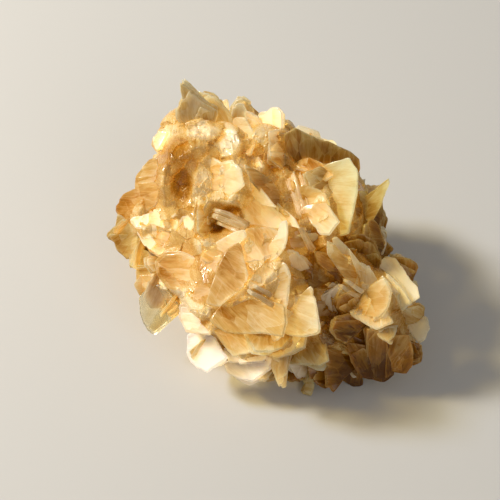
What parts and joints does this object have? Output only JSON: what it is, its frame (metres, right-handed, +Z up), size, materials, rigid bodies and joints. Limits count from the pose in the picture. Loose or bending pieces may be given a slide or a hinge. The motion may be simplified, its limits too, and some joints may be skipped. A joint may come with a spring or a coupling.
{
  "type": "mica cluster",
  "caption": "Intergrown cluster of honey-coloured mica leaves, blades and books, growing from crumbly knots, with a flat broken base.",
  "frame": {"origin": "centre of the bounding box on the plane of the flat broken base", "axes": "+X along the cluster's length from the tall crest towards the small rosette lobe, +Y towards the back, +Z up; the display face looks towards -Y and up"},
  "size_m": [0.058, 0.0496, 0.0378],
  "materials": {
    "mica": "satin"
  },
  "bodies": {
    "root": {"mica_cluster": "mica"}
  },
  "joints": []
}
